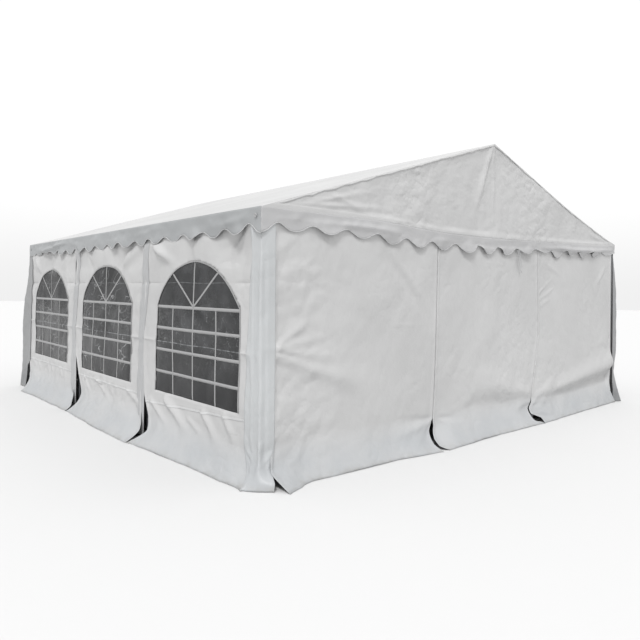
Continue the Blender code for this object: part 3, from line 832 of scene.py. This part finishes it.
def make_window(panel):
    """Clear film in the arch, the bars on it, a welded border round it and the hem line below."""
    middle = np.array([panel.window, 0.0])
    key = f"{panel.side}_{panel.number}"
    heights = levels(SILL - 0.01, ARCH_TOP + 0.006, 0.03, (FOLD_HIGH, 0.04, 0.008), (FOLD_LOW, 0.04, 0.008))
    u, z = np.meshgrid(np.linspace(-1, 1, 49), heights)
    s = panel.window + u * np.maximum(window_half(z, 0.01), 0.004)
    film = grid_object(f"film_{key}", panel.points(s, z, -0.003), is_long(panel.side), WINDOW_FILM,
                       [f"window_{panel.side}_{panel.node_number}"], thickness=0.0008)
    bars = []
    for level in BAR_LEVELS:
        reach = window_half(level) + 0.004
        bars.append(bar_rows(middle + (-reach, level), middle + (reach, level), 70, 1.15))
    for place, top in ((-BAR_ASIDE, BAR_LEVELS[0]), (0.0, ARCH_TOP), (BAR_ASIDE, BAR_LEVELS[0])):
        bars.append(bar_rows(middle + (place, SILL), middle + (place, top), 60, 0.8))
    for sign in (-1, 1):
        bars.append(bar_rows(middle + (0.0, SPRING), middle + (sign * RAY_END[0], RAY_END[1]), 24, 0.8))
    ribbon(f"bars_{key}", panel, bars, -0.0012, WINDOW_BAR, 0.0006)
    reach = math.asin(WINDOW_HALF / ARCH_R)
    outline = [(WINDOW_HALF, level) for level in np.linspace(SILL, SPRING, 40)[:-1]]
    outline += [(ARCH_R * math.sin(turn), ARCH_CENTRE + ARCH_R * math.cos(turn))
                for turn in np.linspace(reach, -reach, 80)]
    outline += [(-WINDOW_HALF, level) for level in np.linspace(SPRING, SILL, 40)[1:]]
    outline = np.array(outline)
    run = np.gradient(outline, axis=0)
    run /= np.linalg.norm(run, axis=1)[:, None]
    normal = np.stack([run[:, 1], -run[:, 0]], axis=1)
    rows = [middle + outline + normal * distance for distance in (-0.008, 0.0, 0.006)]
    ribbon(f"border_{key}", panel, [rows], 0.0012, WINDOW_BAR)
    left, right = panel.edges(SILL)
    along = left + (right - left) * np.linspace(0.016, 0.984, 120)
    level = hem_height(along, panel.window, panel.tilt)
    rows = [np.stack([along, level + offset], axis=-1) for offset in (-0.010, -0.006, 0.004, 0.009)]
    ribbon(f"hem_{key}", panel, [rows], 0.003, HEM_CLOTH, 0.002)


# How far the foot of a side stands out, as knots of (place, distance)
LEFT_FLARE = ((-2.98, 0.152), (-2.76, 0.144), (-1.47, 0.172), (-1.13, 0.194), (-1.07, 0.218), (-0.15, 0.205),
              (0.72, 0.167), (1.27, 0.18), (2.48, 0.216), (2.9, 0.20))
FRONT_FLARE = ((-2.9, 0.13), (-2.3, 0.14), (-1.6, 0.15), (-1.06, 0.215), (-0.9, 0.215), (-0.3, 0.17),
               (0.9, 0.165), (2.9, 0.06))
# Both edges of the three panels of a side, as knots of (height, place)
LONG_EDGES = (
    (((2.1, -2.90), (0.35, -2.90), (0, -2.985)),
     ((2.1, -1.02), (1.2, -1.01), (0.67, -1.03), (0.44, -1.074), (0.29, -1.155), (0.12, -1.25),
      (0, -1.135))),
    (((2.1, -0.94), (0.6, -0.96), (0.43, -1.005), (0.24, -1.015), (0.1, -1.12), (0, -1.12)),
     ((2.1, 0.99), (1.0, 1.0), (0.65, 0.925), (0.48, 0.84), (0.21, 0.675), (0.1, 0.69), (0, 0.72))),
    (((2.1, 1.06), (0.6, 1.0), (0.45, 0.935), (0.2, 0.95), (0.1, 0.86), (0.05, 0.76), (0, 0.75)),
     ((2.1, 2.96), (0.42, 2.955), (0.2, 2.88), (0.08, 2.72), (0, 2.52))),
)
GABLE_EDGES = (
    (((2.1, -2.88), (0.36, -2.88), (0.11, -2.945), (0, -2.906)),
     ((2.1, -0.904), (0.94, -0.922), (0.54, -0.938), (0.27, -0.958), (0.16, -1.044), (0.05, -1.08),
      (0, -1.055))),
    (((2.1, -0.900), (0.94, -0.918), (0.54, -0.934), (0.2, -0.960), (0.09, -1.024), (0.03, -1.035),
      (0, -0.96)),
     ((2.1, 0.958), (1.04, 0.999), (0.43, 0.885), (0.24, 0.844), (0.17, 0.75), (0.04, 0.755), (0, 0.885))),
    (((2.1, 0.963), (1.04, 1.004), (0.43, 0.89), (0.23, 0.856), (0.17, 0.778), (0.11, 0.778), (0.05, 0.93),
      (0, 0.89)),
     ((2.1, 2.96), (0.45, 2.96), (0.16, 2.92), (0, 2.985))),
)
HEM_TILTS = (-0.054, 0.0, 0.0)   # slope of the hem line under each window
# Both edges of a post strip, as knots of (height, place beside the post)
STRIP_FRONT = ((0.1, -0.09), (0.3, -0.085), (0.5, -0.075), (0.67, -0.05), (1.0, -0.03), (1.93, -0.11))
STRIP_REAR = ((0.03, 0.12), (0.5, 0.11), (1.0, 0.1), (1.93, 0.08))


def post_strip(side, number, place):
    """Strip over the slit at a post. It lies on the panels at both edges, and lower down on one only."""
    before, after = PANELS[side][number - 1:number + 1]
    u, z = np.meshgrid(np.linspace(0, 1, 15), levels(0.035, WALL_TOP - 0.004, 0.024))
    front = place + through(STRIP_FRONT, z) - 0.03 * (number - 1) * smooth(1.1, 0.7, z)
    rear = place + through(STRIP_REAR, z)
    s = front + (rear - front) * u
    low = before.relief(np.minimum(front, before.edges(z)[1] - 0.03), z)
    high = after.relief(np.maximum(rear, after.edges(z)[0] + 0.03), z)
    hanging = lean(s, z, side)
    loose = smooth(0.5, 0.9, z)
    low = hanging + (low - hanging) * loose
    high = hanging - 0.012 + (high - hanging + 0.012) * smooth(0.33, 0.45, z)
    bulge = np.sin(np.pi * u) * smooth(2.1, 1.9, z)
    out = low + (high - low) * u + 0.0026 + 0.016 * bulge * (0.3 + 0.7 * loose)
    out += (0.004 * np.sin(4 * np.pi * u + 0.6 * z) + facets(s, z, 90 * number, 0.15, 0.008)) * bulge
    node = number if side in NEAR_SIDES else 3 - number
    points = on_side(side, s, z, under_valance(out, z))
    obj = grid_object(f"strip_{side}_{number}", points, True, STRIP_CLOTH,
                      [f"post_strip_{side}_{node}"])


# Corner covers
# Folds at the foot of a cover: a start, an end, a width and a height
FOOT_FOLDS = (((-0.0054, 0.28), (0.1188, 0.13), 0.018, 0.012), ((0.2754, 0.28), (0.1242, 0.14), 0.018, 0.012),
              ((0.243, 0.20), (0.1215, 0.09), 0.018, 0.007), ((0.0135, 0.18), (0.108, 0.08), 0.018, 0.007))


def corner_cover(gable_side, long, stand, seed):
    """Sheet that wraps a corner post from the long side to the gable wall, down to the ground.

    stand gives, from the ground up, how far it stands off the corner, as (height, distance). Where the two
    walls start, the sheet lies over their panels. Where they end, it laps the long side's panel down to its
    foot and stands clear of the gable wall's."""
    sign_x = -1 if long == "left" else 1
    sign_y = -1 if gable_side == "front" else 1
    over = sign_x == sign_y
    leg = 0.13 if over else 0.012
    z = levels(0.0, WALL_TOP - 0.004, 0.022, (0.0, 0.45, 0.014))
    near = HALF - leg
    bend = through(stand, z)
    low = smooth(0.3, 0.0, z)
    first_panel = PANELS[long][0]
    if over:
        at = np.full(z.shape, -near)
        along = edge = first_panel.relief(at, z) + 0.003
        across = np.minimum(PANELS[gable_side][0].relief(at, z) + 0.003, 0.035 + 0.125 * low)
        start = near - 0.07 * smooth(2.0, 0.4, z) - 0.01
        start = np.minimum(start + 0.2 * skirt(z), 2.96)
        end = near + 0.105 * low ** 1.6
        turn = HALF - 0.03 + 0.01 * low
        shares = (0.0, 0.38, 0.5, 0.62, 1.0)
    else:
        off = 0.014 * smooth(2.1, 1.8, z)
        along = lean(HALF, z, long) + off + 0.06 * low ** 1.5
        lap = smooth(0.30, 0.40, z)
        lying = np.minimum(PANELS[long][2].relief(np.full(z.shape, 2.93), z) + 0.004, along)
        edge = along + (lying - along) * lap
        across = lean(HALF, z, gable_side) + off
        start = near - 0.078 * lap - 0.15 * low ** 1.5
        end = near + 0.04 * low
        turn = np.full(z.shape, HALF + 0.004)
        shares = (0.0, 0.3, 0.5, 0.7, 1.0)
    u = np.linspace(0, 1, 45)
    x, y = (np.array([np.interp(u, shares, row) for row in np.stack(knots, axis=-1)])
            for knots in ((HALF + edge, HALF + along, HALF + bend, turn, end),
                          (start, turn, HALF + bend, HALF + across, HALF + across)))
    for values in (x, y):
        for _ in range(8):
            values[:, 1:-1] = (values[:, :-2] + 2 * values[:, 1:-1] + values[:, 2:]) / 4
    u, z = np.meshgrid(u, z)
    if over:
        on_panel = smooth(0.34, 0.24, u)
        lying = HALF + first_panel.relief(-np.minimum(y, 2.96), z) + 0.003
        x = x * (1 - on_panel) + lying * on_panel
    relief = 0.005 * np.sin(5.2 * np.pi * u + 0.5) * smooth(2.1, 1.5, z) + 0.012 * noise(u * 3, z * 1.2, seed)
    relief += facets(u * 0.3, z, seed + 1, 0.14, 0.012)
    relief *= smooth(0.16, 0.36, u) * smooth(0.84, 0.64, u) * smooth(2.1, 1.85, z)
    foot = creases(u * 0.27, z, FOOT_FOLDS, both=False)
    relief += foot * smooth(0.0, 0.12, u) * smooth(1.0, 0.88, u)
    x += relief * smooth(0.8, 0.4, u)
    y += relief * smooth(0.2, 0.6, u)
    if over:
        x = np.where(y < 2.985, np.maximum(x, HALF + first_panel.relief(-y, z) + 0.002), x)
    points = np.stack([sign_x * x, sign_y * y, z + 0.002], axis=-1)
    # The far covers, which stand clear of the gable wall, take the cover cloth darkened with painted shade.
    obj = grid_object(f"corner_{gable_side}_{long}", points, over, COVER_CLOTH if over else SHADED_COVER_CLOTH,
                      [f"corner_cover_{gable_side}_{long}"])


# Small parts
def eyelet(name, side, s, z):
    """A metal ring pressed into the valance."""
    centre = on_side(side, s, z, 0.022)
    outward = Vector(centre - on_side(side, s, z, 0.0))
    ring, wire = 0.012, 0.004
    around = full_turn(24)[:, None]
    part = full_turn(8)[::-1]
    reach = ring + wire * np.cos(part)
    height = np.broadcast_to(wire * np.sin(part), (24, 8))
    rings = np.stack([reach * np.cos(around), reach * np.sin(around), height], axis=-1)
    turn = np.array(outward.to_track_quat("Z", "Y").to_matrix())
    dress(rings_object(name, rings @ turn.T + centre, EYELET, closed=True))


def tie(name, side, start, end):
    """A narrow tie that hangs out from under the valance."""
    s, z = np.linspace(start, end, 16).T
    s = s + np.array([[-0.006], [0.0], [0.006]])
    out = lean(s, z, side) + 0.02 + 0.004 * np.sin(20 * z)
    obj = grid_object(name, on_side(side, s, z, out), is_long(side), ROPE)


# The whole tent
roof()
gable("front", 200)
gable("back", 230)
valance("front", 300, 16, 0.08, 0.4)
valance("left", 320, 17, 0.04, 1.5)
valance("back", 340, 16, 0.05, 1.0)
valance("right", 360, 17, 0.02, 1.2)
SEEDS = {"left": 400, "right": 460, "front": 520, "back": 560}
PANELS = {side: [Panel(side, number, seed) for number in (1, 2, 3)] for side, seed in SEEDS.items()}
for side_name, panels in PANELS.items():
    for wall_panel in panels:
        make_panel(wall_panel)
        if wall_panel.window is not None:
            make_window(wall_panel)
    if is_long(side_name):
        post_strip(side_name, 1, -1.0)
        post_strip(side_name, 2, 1.0)
# How far each corner cover stands off its corner, as knots of (height, distance)
NEAR_STAND = ((0, 0.068), (0.15, 0.04), (0.35, 0.006), (2.1, -0.006))
LEFT_STAND = ((0, 0.14), (0.43, 0.12), (0.95, 0.113), (1.3, 0.09), (1.55, 0.05), (1.97, 0.018), (2.1, 0))
RIGHT_STAND = ((0, 0.155), (0.2, 0.10), (0.43, 0.056), (0.72, 0.075), (1.57, 0.05), (2.1, -0.004))
corner_cover("front", "left", NEAR_STAND, 600)
corner_cover("back", "left", LEFT_STAND, 610)
corner_cover("front", "right", RIGHT_STAND, 620)
corner_cover("back", "right", NEAR_STAND, 630)
tie("tie_front_1", "front", (0.49, 1.99), (0.58, 1.74))
tie("tie_front_2", "front", (0.52, 2.0), (0.60, 1.80))
for side_name in ("left", "right"):
    eyelet(f"eyelet_{side_name}_1", side_name, -2.95, 2.055)
    eyelet(f"eyelet_{side_name}_2", side_name, 2.95, 2.14 if side_name == "right" else 2.055)
FRAME_NODES = ("post_left", "post_right", "post_front", "post_back", "eave", "gable_rail", "ridge", "rafter")
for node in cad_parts.values():
    if node.name.startswith(FRAME_NODES):
        node.data.materials.clear()
        node.data.materials.append(STEEL)


# Camera, light and floor
CAMERA_AT = (-5.553, -6.632, 1.498)
YAW, PITCH, ROLL = (math.radians(angle) for angle in (40.84, -2.82, 0.85))
camera_data = bpy.data.cameras.new("camera")
camera_data.lens = 33.28
camera_data.sensor_width = 36.0
camera = new_object("camera", camera_data)
aim = Euler((math.pi / 2 + PITCH, 0.0, -YAW)).to_matrix() @ Matrix.Rotation(ROLL, 3, "Z")
camera.matrix_world = Matrix.Translation(CAMERA_AT) @ aim.to_4x4()
bpy.context.scene.camera = camera


def sky():
    """Pale overcast sky, brighter overhead than at the horizon."""
    world = bpy.data.worlds.new("sky")
    bpy.context.scene.world = world
    world.use_nodes = True
    nodes = Nodes(world.node_tree, "Generated")
    strength = nodes.ranged(nodes.axes["Z"], 0.0, 0.95, 0.58, 1.2, "LINEAR")
    nodes.feed(world.node_tree.nodes["Background"], {"Color": (1, 1, 1), "Strength": strength})


def sun():
    light = bpy.data.lights.new("sun", "SUN")
    light.energy = 1.9
    light.angle = math.radians(14)
    toward = Vector((-0.62, -0.52, 1.0))
    new_object("sun", light).rotation_euler = toward.to_track_quat("Z", "Y").to_euler()


def rim(height):
    """Points round the edge of the floor, at a height in radii."""
    turn = full_turn(RIM_POINTS)
    return BACKDROP_R * np.stack([np.cos(turn), np.sin(turn), np.full(RIM_POINTS, height)], axis=-1)


def floor():
    mat = Finish("floor").done({"Base Color": (0.66, 0.66, 0.66), "Roughness": 0.9})
    obj = face_object("floor", rim(0.0), [list(range(RIM_POINTS))], mat)
    obj.location.z = -0.001


def backdrop():
    """White cyclorama round the floor. It shows behind the tent and lights nothing."""
    paint = Finish("backdrop")
    glow = paint.ranged(paint.axes["Z"], 0.0, 14.0, 0.84, 1.0)
    mat = paint.done({"Base Color": (0, 0, 0), "Emission Color": (1, 1, 1), "Emission Strength": glow})
    obj = rings_object("backdrop", np.stack([rim(-1.0), rim(1.0)]), mat)
    for ray in ("diffuse", "glossy", "transmission", "volume_scatter", "shadow"):
        setattr(obj, f"visible_{ray}", False)


sky()
sun()
floor()
backdrop()
bpy.context.scene.view_settings.view_transform = "Standard"
bpy.context.view_layer.update()
